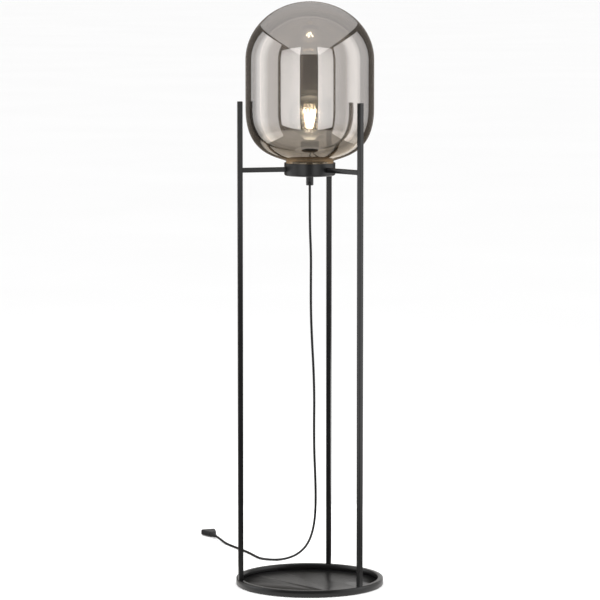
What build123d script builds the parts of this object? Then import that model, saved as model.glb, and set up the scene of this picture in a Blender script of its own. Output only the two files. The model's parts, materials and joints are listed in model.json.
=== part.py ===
from build123d import *
import os
from math import cos, pi, radians, sin, tan

# Globe floor lamp: a capsule of smoked glass held in a shallow metal cup, which three
# arms join to three square legs that stand on a round tray base.
# Frame: origin on the floor under the lamp's axis, +Z up, the front towards -Y.
# All sizes are in millimetres and degrees.

os.makedirs("parts", exist_ok=True)

# ---------------------------------------------------------------- driving dimensions
# globe of smoked glass
globe_radius = 136.4
globe_wall = 2.6
dome_height = 123.8
belly_height = 103.0
bowl_height = 109.4
bowl_drop = 89.0
bowl_reach = 31.3
bowl_slope = 18.6
neck_radius = 50.6
neck_height = 28.0
neck_round = 1.0
shoulder_round = 3.0

# legs, arms and cup
leg_gap = 10.6
tube_side = 10.0
tube_wall = 1.0
tube_corner = 0.9
leg_count = 3
leg_names = ("back", "left", "front")
first_leg_angle = 73.9
leg_rise = 145.5
cup_bottom = 881.0
cup_height = 27.0
cup_wall = 1.2
cup_clearance = 2.6
cup_round = 4.0

# base
leg_inset = 6.0
ring_width = 11.0
ring_height = 14.0
ring_chamfer = 0.5
plate_thick = 2.5
felt_thick = 1.0
felt_margin = 18.0

# screws and plugs in the tubes
fit_gap = 0.05
screw_radius = 2.0
head_radius = 3.5
head_height = 1.8
head_recess = 0.4
counterbore_radius = 4.1
leg_screw_length = 26.0
arm_screw_length = 13.0
hex_key = 2.5
key_depth = 1.1
foot_plug_length = 22.0
arm_plug_length = 18.0
cap_thick = 1.5
cap_plug_length = 8.0
cap_chamfer = 0.4

# seat ring under the glass neck
seat_inset = 0.4
seat_width = 5.2
seat_thick = 3.0
seat_gap = 0.1

# threaded stem, its nut and washer
stem_radius = 5.0
stem_bore = 3.6
stem_engage_low = 10.0
stem_above_floor = 44.3
stem_setback = 0.5
washer_radius = 9.0
washer_thick = 1.0
nut_flats = 14.0
nut_height = 3.2

# cord grip under the cup
grip_radius = 7.75
grip_height = 21.0
grip_bore_gap = 0.15
grip_chamfer = 0.6
grip_screw_radius = 2.4
grip_screw_height = 5.0
grip_screw_recess = 1.2
slot_width = 0.8
slot_depth = 1.0

# lampholder
holder_radius = 19.5
holder_height = 30.0
holder_dome = 10.0
holder_foot_radius = 11.0
holder_floor = 3.0
holder_wall = 2.2
holder_lip = 3.0
holder_groove = 0.6
core_wall = 2.2
core_floor = 2.0
core_lift = 2.5
core_foot_radius = 12.6
core_well_radius = 11.2
ledge_drop = 0.6
shell_wall = 0.5
contact_thick = 0.4
contact_width = 6.0
contact_rise = 0.9
contact_overhang = 1.0
terminal_radius = 1.4
terminal_head_radius = 2.1
terminal_offset = 8.3
terminal_head = 1.2
conductor_radius = 0.9
conductor_offset = 1.4
conductor_bend = 1.2

# bulb
bulb_radius = 45.0
bulb_height = 96.0
bulb_wall = 0.8
bulb_neck_angle = 42.0
bulb_neck_pull = 10.0
bulb_sink = 2.5
cap_crest = 13.1
cap_root = 12.3
cap_wall = 0.4
thread_pitch = 3.6
thread_turns = 5
thread_gap = 0.35
cap_lower_lip = 1.0
cap_upper_lip = 3.0
insulator_height = 1.6
insulator_rim = 2.0
tip_radius = 4.8
tip_height = 1.2
tip_round = 0.7
tip_gap = 0.3
stem_glass_radius = 7.5
stem_glass_neck = 2.6
stem_glass_height = 24.0
filament_count = 4
filament_radius = 1.1
filament_length = 40.0
filament_low_radius = 5.0
filament_high_radius = 12.5
filament_start = 27.0
first_filament_angle = 20.0
lead_radius = 0.35
lead_gap = 0.7
lead_post_rise = 3.0
lead_ridge_drop = 1.0

# cord and plug
cord_radius = 2.6
cord_inner_length = 45.0
route = (
    (0.0, 0.0, 860.0),
    (0.0, 0.0, 820.0),
    (0.5, 10.0, 764.0),
    (2.9, 20.5, 706.0),
    (2.4, 30.0, 645.0),
    (2.6, 39.0, 583.0),
    (5.0, 48.0, 521.0),
    (8.4, 58.5, 459.0),
    (10.2, 70.0, 397.0),
    (9.6, 83.0, 335.0),
    (10.0, 98.0, 275.0),
    (12.4, 115.5, 218.0),
    (13.8, 134.5, 165.0),
    (12.4, 155.0, 117.0),
    (6.4, 178.0, 78.0),
    (-4.6, 203.0, 47.0),
    (-22.0, 229.0, 23.5),
    (-44.0, 248.0, 9.0),
    (-68.0, 258.5, 2.6),
    (-92.0, 262.0, 2.6),
    (-110.5, 276.0, 2.6),
    (-121.0, 303.0, 2.6),
    (-137.0, 347.0, 2.6),
    (-160.5, 396.0, 2.6),
    (-181.0, 437.0, 2.6),
    (-195.0, 468.5, 3.4),
    (-206.0, 498.5, 6.9),
    (-216.0, 528.5, 6.9),
)
relief_length = 24.0
relief_thin = 3.5
relief_thick = 5.4
relief_rib_count = 4
relief_rib_width = 2.2
relief_core_radius = 3.0
plug_length = 34.0
plug_width = 35.3
plug_height = 13.7
plug_waist = 27.0
plug_waist_height = 12.6
plug_tail = 13.0
plug_tail_height = 11.4
plug_waist_at = 15.3
plug_tail_corner = 3.0
plug_waist_corner = 4.0
plug_corner = 5.0
plug_round = 1.2
pin_radius = 2.0
pin_spacing = 18.6
pin_length = 19.0
pin_round = 1.0

# how far a cutting tool runs past the face that it cuts
overrun = 1.0

# share of the half-axis that the handles of a quarter ellipse take
quarter_share = 0.5523

# ---------------------------------------------------------------- sizes worked out
leg_radius = globe_radius + leg_gap + tube_side / 2
leg_inner = leg_radius - tube_side / 2
base_radius = leg_radius + leg_inset
ring_inner = base_radius - ring_width
ring_top = felt_thick + ring_height
tube_bore = tube_side - 2 * tube_wall
plug_side = tube_bore - 2 * fit_gap
cup_radius = neck_radius + cup_clearance + cup_wall
cup_inner = cup_radius - cup_wall
cup_floor = cup_bottom + cup_wall
arm_level = cup_bottom + cup_height / 2
leg_top = arm_level + leg_rise
seat_outer = neck_radius - seat_inset
seat_inner = seat_outer - seat_width
neck_bottom = cup_floor + seat_thick + seat_gap
shoulder = neck_bottom + neck_height
belly_low = shoulder + bowl_height
belly_high = belly_low + belly_height
globe_top = belly_high + dome_height
stem_bottom = cup_bottom - stem_engage_low
stem_top = cup_floor + stem_above_floor
grip_bottom = cup_bottom - grip_height
holder_bottom = stem_top - holder_floor + stem_setback
holder_top = holder_bottom + holder_height
holder_shoulder = holder_bottom + holder_dome
holder_floor_top = holder_bottom + holder_floor
core_bottom = holder_floor_top + core_lift
core_top = core_bottom + core_floor
shell_inner = cap_crest + thread_gap
shell_outer = shell_inner + shell_wall
core_radius = shell_outer + fit_gap + core_wall
contact_top = core_top + contact_thick + contact_rise
bulb_foot = contact_top + tip_gap
cap_bottom = bulb_foot + tip_height + insulator_height
cap_top = cap_bottom + cap_lower_lip + thread_pitch * thread_turns + cap_upper_lip
bulb_neck_radius = cap_crest - cap_wall - fit_gap
bulb_base = cap_top - bulb_sink
bulb_centre = bulb_base + bulb_height - bulb_radius
leg_angles = [first_leg_angle + i * 360 / leg_count for i in range(leg_count)]


def radial_plane(angle, radius, height):
    """Plane that faces away from the lamp's axis, with its Y up the lamp."""
    a = radians(angle)
    place = (radius * cos(a), radius * sin(a), height)
    return Plane(origin=place, x_dir=(-sin(a), cos(a), 0), z_dir=(cos(a), sin(a), 0))


# ---------------------------------------------------------------- base
with BuildPart() as base_ring:
    with BuildSketch(Plane.XY.offset(felt_thick)):
        Circle(base_radius)
        Circle(ring_inner, mode=Mode.SUBTRACT)
    extrude(amount=ring_height)
    chamfer(base_ring.edges().filter_by(GeomType.CIRCLE), ring_chamfer)
    with Locations(Plane.XY.offset(ring_top)):
        with PolarLocations(leg_radius, leg_count, start_angle=first_leg_angle):
            Hole(screw_radius + fit_gap)
    with BuildSketch(Plane.XY.offset(felt_thick)):
        with PolarLocations(leg_radius, leg_count, start_angle=first_leg_angle):
            Circle(counterbore_radius)
    extrude(amount=head_height + head_recess, mode=Mode.SUBTRACT)
base_ring.part.label = "base_ring"
export_step(base_ring.part, "parts/base_ring.step")

with BuildPart() as base_plate:
    with BuildSketch(Plane.XY.offset(felt_thick)):
        Circle(ring_inner - fit_gap)
    extrude(amount=plate_thick)
base_plate.part.label = "base_plate"
export_step(base_plate.part, "parts/base_plate.step")

with BuildPart() as base_felt:
    with BuildSketch():
        Circle(base_radius - felt_margin)
    extrude(amount=felt_thick)
base_felt.part.label = "base_felt"
export_step(base_felt.part, "parts/base_felt.step")

with BuildPart() as leg_screws:
    head_bottom = felt_thick + head_recess
    with BuildSketch(Plane.XY.offset(head_bottom)):
        with PolarLocations(leg_radius, leg_count, start_angle=first_leg_angle):
            Circle(head_radius)
    extrude(amount=head_height)
    with BuildSketch(Plane.XY.offset(head_bottom)):
        with PolarLocations(leg_radius, leg_count, start_angle=first_leg_angle):
            Circle(screw_radius)
    extrude(amount=leg_screw_length)
    with BuildSketch(Plane.XY.offset(head_bottom)):
        with PolarLocations(leg_radius, leg_count, start_angle=first_leg_angle):
            RegularPolygon(hex_key / 2, 6, major_radius=False)
    extrude(amount=key_depth, mode=Mode.SUBTRACT)
leg_screws.part.label = "leg_screws"
export_step(leg_screws.part, "parts/leg_screws.step")

# ---------------------------------------------------------------- legs and arms
for name, angle in zip(leg_names, leg_angles):
    side = Plane.XY.rotated((0, 0, angle))

    with BuildPart() as leg:
        with BuildSketch(side.offset(ring_top)):
            with Locations((leg_radius, 0)):
                RectangleRounded(tube_side, tube_side, tube_corner)
                Rectangle(tube_bore, tube_bore, mode=Mode.SUBTRACT)
        extrude(amount=leg_top - cap_thick - ring_top)
    leg.part.label = f"leg_{name}"
    export_step(leg.part, f"parts/leg_{name}.step")

    with BuildPart() as foot_plug:
        with BuildSketch(side.offset(ring_top)):
            with Locations((leg_radius, 0)):
                Rectangle(plug_side, plug_side)
                Circle(screw_radius + fit_gap, mode=Mode.SUBTRACT)
        extrude(amount=foot_plug_length)
    foot_plug.part.label = f"leg_plug_{name}"
    export_step(foot_plug.part, f"parts/leg_plug_{name}.step")

    with BuildPart() as leg_cap:
        with BuildSketch(side.offset(leg_top - cap_thick)):
            with Locations((leg_radius, 0)):
                RectangleRounded(tube_side, tube_side, tube_corner)
        extrude(amount=cap_thick)
        chamfer(leg_cap.faces().sort_by(Axis.Z)[-1].edges(), cap_chamfer)
        with BuildSketch(side.offset(leg_top - cap_thick)):
            with Locations((leg_radius, 0)):
                Rectangle(plug_side, plug_side)
        extrude(amount=-cap_plug_length)
    leg_cap.part.label = f"leg_cap_{name}"
    export_step(leg_cap.part, f"parts/leg_cap_{name}.step")

    with BuildPart() as arm:
        with BuildSketch(radial_plane(angle, cup_inner, arm_level)):
            RectangleRounded(tube_side, tube_side, tube_corner)
            Rectangle(tube_bore, tube_bore, mode=Mode.SUBTRACT)
        extrude(amount=leg_inner - cup_inner)
        with BuildSketch(Plane.XY.offset(cup_bottom)):
            Circle(cup_radius)
        extrude(amount=cup_height, mode=Mode.SUBTRACT)
    arm.part.label = f"arm_{name}"
    export_step(arm.part, f"parts/arm_{name}.step")

    with BuildPart() as arm_plug:
        with BuildSketch(radial_plane(angle, cup_inner, arm_level)):
            Rectangle(plug_side, plug_side)
            Circle(screw_radius + fit_gap, mode=Mode.SUBTRACT)
        extrude(amount=arm_plug_length)
        with BuildSketch(Plane.XY.offset(cup_bottom)):
            Circle(cup_radius)
        extrude(amount=cup_height, mode=Mode.SUBTRACT)
    arm_plug.part.label = f"arm_plug_{name}"
    export_step(arm_plug.part, f"parts/arm_plug_{name}.step")

# A screw's flat head lies against the cup's round wall at the head's two sides.
head_seat = (cup_inner**2 - head_radius**2) ** 0.5 - fit_gap
with BuildPart() as arm_screws:
    for angle in leg_angles:
        with BuildSketch(radial_plane(angle, head_seat, arm_level)):
            Circle(head_radius)
        extrude(amount=-head_height)
        with BuildSketch(radial_plane(angle, head_seat, arm_level)):
            Circle(screw_radius)
        extrude(amount=arm_screw_length)
        with BuildSketch(radial_plane(angle, head_seat - head_height, arm_level)):
            RegularPolygon(hex_key / 2, 6, major_radius=False)
        extrude(amount=key_depth, mode=Mode.SUBTRACT)
arm_screws.part.label = "arm_screws"
export_step(arm_screws.part, "parts/arm_screws.step")

# ---------------------------------------------------------------- cup
with BuildPart() as cup:
    with BuildSketch(Plane.XY.offset(cup_bottom)):
        Circle(cup_radius)
    extrude(amount=cup_height)
    fillet(cup.edges().group_by(Axis.Z)[0], cup_round)
    offset(amount=-cup_wall, openings=cup.faces().sort_by(Axis.Z)[-1])
    with Locations((0, 0, cup_floor)):
        Hole(stem_radius + fit_gap)
    for angle in leg_angles:
        with BuildSketch(radial_plane(angle, cup_inner - cup_wall, arm_level)):
            Circle(screw_radius + fit_gap)
        extrude(amount=3 * cup_wall, mode=Mode.SUBTRACT)
cup.part.label = "cup"
export_step(cup.part, "parts/cup.step")

with BuildPart() as seat_ring:
    with BuildSketch(Plane.XY.offset(cup_floor)):
        Circle(seat_outer)
        Circle(seat_inner, mode=Mode.SUBTRACT)
    extrude(amount=seat_thick)
seat_ring.part.label = "seat_ring"
export_step(seat_ring.part, "parts/seat_ring.step")

# ---------------------------------------------------------------- globe
def globe_outline(inset):
    """Half of the globe's section, drawn this far inside its outer face."""
    side = neck_radius - inset
    neck = Line((side, neck_bottom), (side, shoulder - shoulder_round))
    throat = JernArc(neck @ 1, (0, 1), shoulder_round + inset, bowl_slope - 90)
    belly_side = globe_radius - inset
    bowl = Bezier(
        throat @ 1,
        throat @ 1 + bowl_reach * (throat % 1),
        (belly_side, belly_low - bowl_drop),
        (belly_side, belly_low),
    )
    belly = Line(bowl @ 1, (belly_side, belly_high))
    dome_top = globe_top - inset
    dome = Bezier(
        belly @ 1,
        (belly_side, belly_high + quarter_share * (dome_height - inset)),
        (quarter_share * belly_side, dome_top),
        (0, dome_top),
    )
    Polyline(dome @ 1, (0, neck_bottom), neck @ 0)


with BuildPart() as globe:
    with BuildSketch(Plane.XZ):
        with BuildLine():
            globe_outline(0)
        make_face()
    revolve(axis=Axis.Z)
    with BuildSketch(Plane.XZ):
        with BuildLine():
            globe_outline(globe_wall)
        make_face()
    revolve(axis=Axis.Z, mode=Mode.SUBTRACT)
    fillet(globe.edges().group_by(Axis.Z)[0], neck_round)
globe.part.label = "globe_glass"
export_step(globe.part, "parts/globe_glass.step")

# ---------------------------------------------------------------- stem, nut, grip
with BuildPart() as stem:
    with BuildSketch(Plane.XY.offset(stem_bottom)):
        Circle(stem_radius)
        Circle(stem_bore, mode=Mode.SUBTRACT)
    extrude(amount=stem_top - stem_bottom)
stem.part.label = "threaded_stem"
export_step(stem.part, "parts/threaded_stem.step")

with BuildPart() as washer:
    with BuildSketch(Plane.XY.offset(cup_floor)):
        Circle(washer_radius)
        Circle(stem_radius + fit_gap, mode=Mode.SUBTRACT)
    extrude(amount=washer_thick)
washer.part.label = "stem_washer"
export_step(washer.part, "parts/stem_washer.step")

with BuildPart() as nut:
    with BuildSketch(Plane.XY.offset(cup_floor + washer_thick)):
        RegularPolygon(nut_flats / 2, 6, major_radius=False)
        Circle(stem_radius + fit_gap, mode=Mode.SUBTRACT)
    extrude(amount=nut_height)
nut.part.label = "stem_nut"
export_step(nut.part, "parts/stem_nut.step")

with BuildPart() as cord_grip:
    with BuildSketch(Plane.XY.offset(grip_bottom)):
        Circle(grip_radius)
    extrude(amount=grip_height)
    chamfer(cord_grip.edges().group_by(Axis.Z)[0], grip_chamfer)
    with Locations((0, 0, cup_bottom)):
        Hole(cord_radius + grip_bore_gap)
    with BuildSketch(Plane.XY.offset(stem_bottom - fit_gap)):
        Circle(stem_radius + fit_gap)
    extrude(amount=cup_bottom - stem_bottom + fit_gap, mode=Mode.SUBTRACT)
    with BuildSketch(radial_plane(-90, 0, grip_bottom + grip_screw_height)):
        Circle(grip_screw_radius + fit_gap)
    extrude(amount=grip_radius + overrun, mode=Mode.SUBTRACT)
cord_grip.part.label = "cord_grip"
export_step(cord_grip.part, "parts/cord_grip.step")

with BuildPart() as grip_screw:
    screw_face = grip_radius - grip_screw_recess
    with BuildSketch(radial_plane(-90, cord_radius + fit_gap, grip_bottom + grip_screw_height)):
        Circle(grip_screw_radius)
    extrude(amount=screw_face - cord_radius - fit_gap)
    with BuildSketch(radial_plane(-90, screw_face, grip_bottom + grip_screw_height)):
        Rectangle(slot_width, 3 * grip_screw_radius)
    extrude(amount=-slot_depth, mode=Mode.SUBTRACT)
grip_screw.part.label = "cord_grip_screw"
export_step(grip_screw.part, "parts/cord_grip_screw.step")

# ---------------------------------------------------------------- lampholder
with BuildPart() as holder_cap:
    with BuildSketch(Plane.XZ):
        with BuildLine():
            Polyline(
                (stem_radius + fit_gap, holder_bottom),
                (holder_foot_radius, holder_bottom),
                (holder_radius, holder_shoulder),
                (holder_radius - holder_wall, holder_shoulder),
                (holder_foot_radius, holder_floor_top),
                (stem_radius + fit_gap, holder_floor_top),
                close=True,
            )
        make_face()
    revolve(axis=Axis.Z)
holder_cap.part.label = "holder_cap"
export_step(holder_cap.part, "parts/holder_cap.step")

with BuildPart() as holder_body:
    with BuildSketch(Plane.XZ):
        with BuildLine():
            Polyline(
                (holder_radius - holder_wall, holder_shoulder),
                (holder_radius, holder_shoulder),
                (holder_radius, holder_top),
                (shell_inner, holder_top),
                (shell_inner, holder_top - holder_lip + holder_groove),
                (core_radius + fit_gap, holder_top - holder_lip),
                (core_radius + fit_gap, holder_shoulder + holder_lip),
                (holder_radius - holder_wall, holder_shoulder + holder_lip),
                close=True,
            )
        make_face()
    revolve(axis=Axis.Z)
    groove_low = holder_shoulder + holder_lip
    with BuildSketch(Plane.XY.offset(groove_low)):
        Circle(holder_radius + overrun)
        Circle(holder_radius - holder_groove, mode=Mode.SUBTRACT)
    extrude(amount=holder_groove, mode=Mode.SUBTRACT)
holder_body.part.label = "holder_body"
export_step(holder_body.part, "parts/holder_body.step")

core_rim = holder_top - holder_lip - fit_gap
ledge = cap_bottom - ledge_drop
with BuildPart() as holder_core:
    with BuildSketch(Plane.XZ):
        with BuildLine():
            Polyline(
                (0, core_bottom),
                (core_foot_radius, core_bottom),
                (core_radius, holder_shoulder),
                (core_radius, core_rim),
                (shell_outer + fit_gap, core_rim),
                (shell_outer + fit_gap, ledge),
                (core_well_radius, ledge),
                (core_well_radius, core_top),
                (0, core_top),
                close=True,
            )
        make_face()
    revolve(axis=Axis.Z)
    with Locations((0, 0, core_top)):
        with GridLocations(2 * terminal_offset, 0, 2, 1):
            Hole(terminal_radius + fit_gap)
holder_core.part.label = "holder_core"
export_step(holder_core.part, "parts/holder_core.step")

with BuildPart() as screw_shell:
    with BuildSketch(Plane.XY.offset(ledge)):
        Circle(shell_outer)
        Circle(shell_inner, mode=Mode.SUBTRACT)
    extrude(amount=core_rim - ledge)
screw_shell.part.label = "holder_screw_shell"
export_step(screw_shell.part, "parts/holder_screw_shell.step")

with BuildPart() as contact:
    half = tip_radius + contact_overhang
    with BuildSketch(Plane.XZ.offset(-contact_width / 2)):
        with BuildLine():
            Polyline(
                (-half, core_top),
                (half, core_top),
                (half, core_top + contact_thick),
                (-half + 2 * contact_thick, core_top + contact_thick),
                (half - contact_thick, contact_top - contact_thick),
                (half - contact_thick, contact_top),
                (-half, core_top + 2 * contact_thick),
                close=True,
            )
        make_face()
    extrude(amount=contact_width)
contact.part.label = "holder_contact"
export_step(contact.part, "parts/holder_contact.step")

with BuildPart() as terminals:
    with BuildSketch(Plane.XY.offset(core_top)):
        with GridLocations(2 * terminal_offset, 0, 2, 1):
            Circle(terminal_head_radius)
    extrude(amount=terminal_head)
    with BuildSketch(Plane.XY.offset(core_top)):
        with GridLocations(2 * terminal_offset, 0, 2, 1):
            Circle(terminal_radius)
    extrude(amount=-core_floor)
terminals.part.label = "holder_terminals"
export_step(terminals.part, "parts/holder_terminals.step")

# ---------------------------------------------------------------- bulb
with BuildPart() as bulb_glass:
    turn = radians(bulb_neck_angle)
    join = (bulb_radius * sin(turn), bulb_centre - bulb_radius * cos(turn))
    with BuildSketch(Plane.XZ):
        with BuildLine():
            collar = Line((bulb_neck_radius, bulb_base), (bulb_neck_radius, cap_top + cap_wall))
            neck_curve = Bezier(
                collar @ 1,
                (bulb_neck_radius, cap_top + bulb_neck_pull / 2),
                (join[0] - bulb_neck_pull * cos(turn), join[1] - bulb_neck_pull * sin(turn)),
                join,
            )
            bulb_arc = CenterArc(
                (0, bulb_centre), bulb_radius, bulb_neck_angle - 90, 180 - bulb_neck_angle
            )
            drop = Line(bulb_arc @ 1, (0, bulb_base))
            Line(drop @ 1, collar @ 0)
        make_face()
    revolve(axis=Axis.Z)
    offset(amount=-bulb_wall, openings=bulb_glass.faces().sort_by(Axis.Z)[0])
bulb_glass.part.label = "bulb_glass"
export_step(bulb_glass.part, "parts/bulb_glass.step")

with BuildPart() as bulb_cap:
    thread_low = cap_bottom + cap_lower_lip
    thread_high = thread_low + thread_turns * thread_pitch
    with BuildSketch(Plane.XZ):
        with BuildLine():
            Line((cap_root, cap_bottom), (cap_root, thread_low))
            for turn_index in range(thread_turns):
                low = thread_low + turn_index * thread_pitch
                ThreePointArc(
                    (cap_root, low),
                    (cap_crest, low + thread_pitch / 2),
                    (cap_root, low + thread_pitch),
                )
            Polyline(
                (cap_root, thread_high),
                (cap_crest, thread_high + cap_wall),
                (cap_crest, cap_top),
                (cap_crest - cap_wall, cap_top),
                (cap_crest - cap_wall, bulb_base - fit_gap),
                (cap_root - cap_wall, bulb_base - 2 * cap_wall),
                (cap_root - cap_wall, cap_bottom),
                (cap_root, cap_bottom),
            )
        make_face()
    revolve(axis=Axis.Z)
bulb_cap.part.label = "bulb_cap"
export_step(bulb_cap.part, "parts/bulb_cap.step")

with BuildPart() as insulator:
    with BuildSketch(Plane.XY.offset(bulb_foot + tip_height)):
        Circle(tip_radius + insulator_rim)
    with BuildSketch(Plane.XY.offset(cap_bottom)):
        Circle(cap_root - 2 * cap_wall)
    loft()
insulator.part.label = "bulb_insulator"
export_step(insulator.part, "parts/bulb_insulator.step")

with BuildPart() as tip:
    with BuildSketch(Plane.XY.offset(bulb_foot)):
        Circle(tip_radius)
    extrude(amount=tip_height)
    fillet(tip.edges().group_by(Axis.Z)[0], tip_round)
tip.part.label = "bulb_tip"
export_step(tip.part, "parts/bulb_tip.step")

with BuildPart() as glass_stem:
    with BuildSketch(Plane.XY.offset(bulb_base)):
        Circle(bulb_neck_radius - bulb_wall - fit_gap)
    extrude(amount=bulb_wall)
    with BuildSketch(Plane.XY.offset(bulb_base)):
        Circle(stem_glass_radius)
    with BuildSketch(Plane.XY.offset(bulb_base + stem_glass_height / 2)):
        Circle(stem_glass_neck)
    loft()
    with BuildSketch(Plane.XY.offset(bulb_base + stem_glass_height / 2)):
        Circle(stem_glass_neck)
    extrude(amount=stem_glass_height / 2)
glass_stem.part.label = "bulb_stem"
export_step(glass_stem.part, "parts/bulb_stem.step")

filament_lean = (filament_high_radius - filament_low_radius) / filament_length
filament_low = bulb_base + filament_start
filament_high = filament_low + filament_length * (1 - filament_lean**2) ** 0.5
filament_step = 360 / filament_count
filament_angles = [first_filament_angle + i * filament_step for i in range(filament_count)]


def around(radius, angle, height):
    """Point at a radius, an angle and a height about the lamp's axis."""
    return (radius * cos(radians(angle)), radius * sin(radians(angle)), height)


with BuildPart() as filaments:
    for angle in filament_angles:
        low = Vector(*around(filament_low_radius, angle, filament_low))
        high = Vector(*around(filament_high_radius, angle, filament_high))
        with BuildSketch(Plane(origin=low, z_dir=high - low)):
            Circle(filament_radius)
        extrude(amount=filament_length)
filaments.part.label = "bulb_filaments"
export_step(filaments.part, "parts/bulb_filaments.step")

with BuildPart() as lead_wires:
    crown = bulb_base + stem_glass_height
    crown_top = filament_high + lead_post_rise
    post = Vector(0, 0, crown + 3 * lead_radius)
    with BuildSketch(Plane.XY.offset(crown)):
        Circle(lead_radius)
    extrude(amount=crown_top - crown)
    for angle in filament_angles:
        low = Vector(*around(filament_low_radius, angle, filament_low - lead_gap))
        high = Vector(*around(filament_high_radius, angle, filament_high + lead_gap))
        with BuildSketch(Plane(origin=post, z_dir=low - post)):
            Circle(lead_radius)
        extrude(amount=(low - post).length)
        ridge = Vector(0, 0, crown_top - lead_ridge_drop)
        with BuildSketch(Plane(origin=ridge, z_dir=high - ridge)):
            Circle(lead_radius)
        extrude(amount=(high - ridge).length)
lead_wires.part.label = "bulb_lead_wires"
export_step(lead_wires.part, "parts/bulb_lead_wires.step")

# ---------------------------------------------------------------- wiring and cord
with BuildPart() as cord_inner:
    with BuildSketch(Plane.XY.offset(grip_bottom)):
        Circle(cord_radius)
    extrude(amount=cord_inner_length)
cord_inner.part.label = "cord_inner"
export_step(cord_inner.part, "parts/cord_inner.step")

with BuildPart() as conductors:
    wire_low = grip_bottom + cord_inner_length
    wire_high = holder_floor_top + core_lift / 2
    for way in (-1, 1):
        with BuildLine() as wire_path:
            FilletPolyline(
                (way * conductor_offset, 0, wire_low),
                (way * conductor_offset, 0, wire_high),
                (way * (terminal_offset - terminal_radius), 0, wire_high),
                radius=conductor_bend,
            )
        with BuildSketch(Plane(origin=wire_path.line @ 0, z_dir=wire_path.line % 0)):
            Circle(conductor_radius)
        sweep(path=wire_path.line)
conductors.part.label = "conductors"
export_step(conductors.part, "parts/conductors.step")


def bend_radii(points, share=0.45):
    """Arc radius at each corner of the route, which takes this share of the shorter run."""
    corners = [Vector(*p) for p in points]
    radii = []
    for before, here, after in zip(corners, corners[1:], corners[2:]):
        run_in = here - before
        run_out = after - here
        turn_angle = run_in.get_angle(run_out)
        shorter = min(run_in.length, run_out.length)
        radii.append(share * shorter / tan(radians(turn_angle) / 2))
    return radii


radii = bend_radii(route)
with BuildPart() as cord:
    with BuildLine() as cord_path:
        FilletPolyline(*route, radius=radii)
    with BuildSketch(Plane(origin=cord_path.line @ 0, z_dir=cord_path.line % 0)):
        Circle(cord_radius)
    sweep(path=cord_path.line)
cord.part.label = "cord"
export_step(cord.part, "parts/cord.step")
cord_length = cord_path.wires()[0].length
cord_share = cord.part.volume / (cord_length * pi * cord_radius**2)
print("cord radii", [round(r) for r in radii])
print("cord length", round(cord_length, 1), "volume share", round(cord_share, 4))

# ---------------------------------------------------------------- plug
cord_end = Vector(*route[-1])
heading = (cord_end - Vector(*route[-2])).normalized()
plug_side_dir = heading.cross(Vector(0, 0, 1))


def plug_plane(distance):
    """Section plane of the plug, at a distance past the cord's end."""
    return Plane(origin=cord_end + heading * distance, x_dir=plug_side_dir, z_dir=heading)


with BuildPart() as relief:
    with BuildSketch(plug_plane(0)):
        Circle(relief_thin)
    with BuildSketch(plug_plane(relief_length)):
        Circle(relief_thick)
    loft()
    rib_step = relief_length / (relief_rib_count + 1)
    for rib in range(relief_rib_count):
        groove = (rib + 1) * rib_step - relief_rib_width
        with BuildSketch(plug_plane(groove)):
            Circle(relief_thick + overrun)
            Circle(relief_core_radius, mode=Mode.SUBTRACT)
        extrude(amount=relief_rib_width, mode=Mode.SUBTRACT)
relief.part.label = "plug_relief"
export_step(relief.part, "parts/plug_relief.step")

with BuildPart() as plug_body:
    with BuildSketch(plug_plane(relief_length)):
        RectangleRounded(plug_tail, plug_tail_height, plug_tail_corner)
    with BuildSketch(plug_plane(relief_length + plug_waist_at)):
        RectangleRounded(plug_waist, plug_waist_height, plug_waist_corner)
    with BuildSketch(plug_plane(relief_length + plug_length)):
        RectangleRounded(plug_width, plug_height, plug_corner)
    loft(ruled=True)
    fillet(plug_body.faces().sort_by(Axis.Y)[-1].edges(), plug_round)
plug_body.part.label = "plug_body"
export_step(plug_body.part, "parts/plug_body.step")

with BuildPart() as plug_pins:
    with BuildSketch(plug_plane(relief_length + plug_length)):
        with GridLocations(pin_spacing, 0, 2, 1):
            Circle(pin_radius)
    extrude(amount=pin_length)
    fillet(plug_pins.faces().sort_by(Axis.Y)[-2:].edges(), pin_round)
plug_pins.part.label = "plug_pins"
export_step(plug_pins.part, "parts/plug_pins.step")

print("leg top", leg_top, "globe top", round(globe_top, 1), "base radius", base_radius)
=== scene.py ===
"""Globe floor lamp: its smoked glass, bulb, frame, tray base and cord, with their finishes.

Everything is in metres, in the lamp's own frame: the origin lies on the floor under the
lamp's axis, +Z is up and the front looks towards -Y.
"""

import json
import math

import bmesh
import bpy
from bpy.props import FloatProperty, FloatVectorProperty, PointerProperty
from mathutils import Matrix, Vector


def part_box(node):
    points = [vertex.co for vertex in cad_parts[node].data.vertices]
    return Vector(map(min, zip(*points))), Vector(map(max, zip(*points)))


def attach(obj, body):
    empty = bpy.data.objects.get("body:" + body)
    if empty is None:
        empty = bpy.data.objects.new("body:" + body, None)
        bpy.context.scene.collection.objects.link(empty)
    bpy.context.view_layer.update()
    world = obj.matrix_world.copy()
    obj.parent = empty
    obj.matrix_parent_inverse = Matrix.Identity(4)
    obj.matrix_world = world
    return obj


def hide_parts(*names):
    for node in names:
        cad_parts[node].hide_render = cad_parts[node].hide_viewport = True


bl_info = {
    "name": "Globe floor lamp",
    "version": (1, 0, 0),
    "blender": (4, 5, 0),
    "location": "View3D > Sidebar > Lamp",
    "description": "Builds the pieces, finishes and studio of a globe floor lamp",
    "category": "Object",
}

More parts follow.
